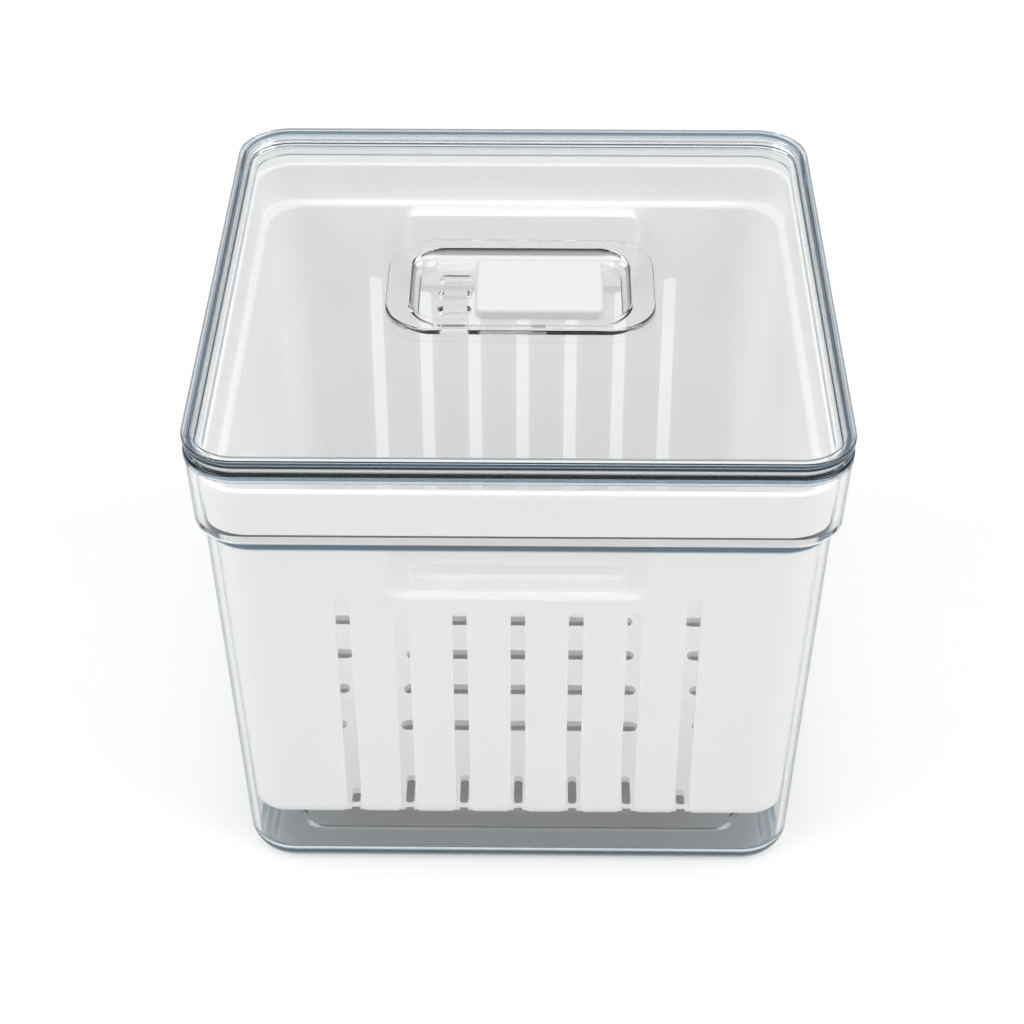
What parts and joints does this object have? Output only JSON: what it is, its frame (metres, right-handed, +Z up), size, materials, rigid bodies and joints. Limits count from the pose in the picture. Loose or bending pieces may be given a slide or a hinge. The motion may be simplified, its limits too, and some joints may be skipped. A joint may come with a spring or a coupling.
{
  "type": "fridge organizer",
  "caption": "Square clear fridge keeper with a white colander basket inside and a clear lid whose centre slider opens air vents.",
  "frame": {"origin": "middle of the bin's foot, on the surface it stands on", "axes": "+Z up, +X to the right and along the vent slider's travel, +Y to the back; the two walls with hand grips face -Y and +Y"},
  "size_m": [0.16, 0.16, 0.142],
  "materials": {
    "clear_plastic": "clear, glossy moulded plastic",
    "white_plastic": "fine satin moulded plastic",
    "slider_plastic": "smooth white moulded plastic"
  },
  "bodies": {
    "bin": {"outer_bin": "clear_plastic", "colander_basket": "white_plastic"},
    "lid": {"lid": "clear_plastic"},
    "slider": {"vent_slider": "slider_plastic"}
  },
  "joints": [
    {"name": "lid_lift", "type": "slide", "parent": "bin", "child": "lid", "axis": [0, 0, 1], "range_m": [0, 0.04]},
    {"name": "vent_slide", "type": "slide", "parent": "lid", "child": "slider", "axis": [1, 0, 0], "range_m": [-0.0135, 0]}
  ]
}
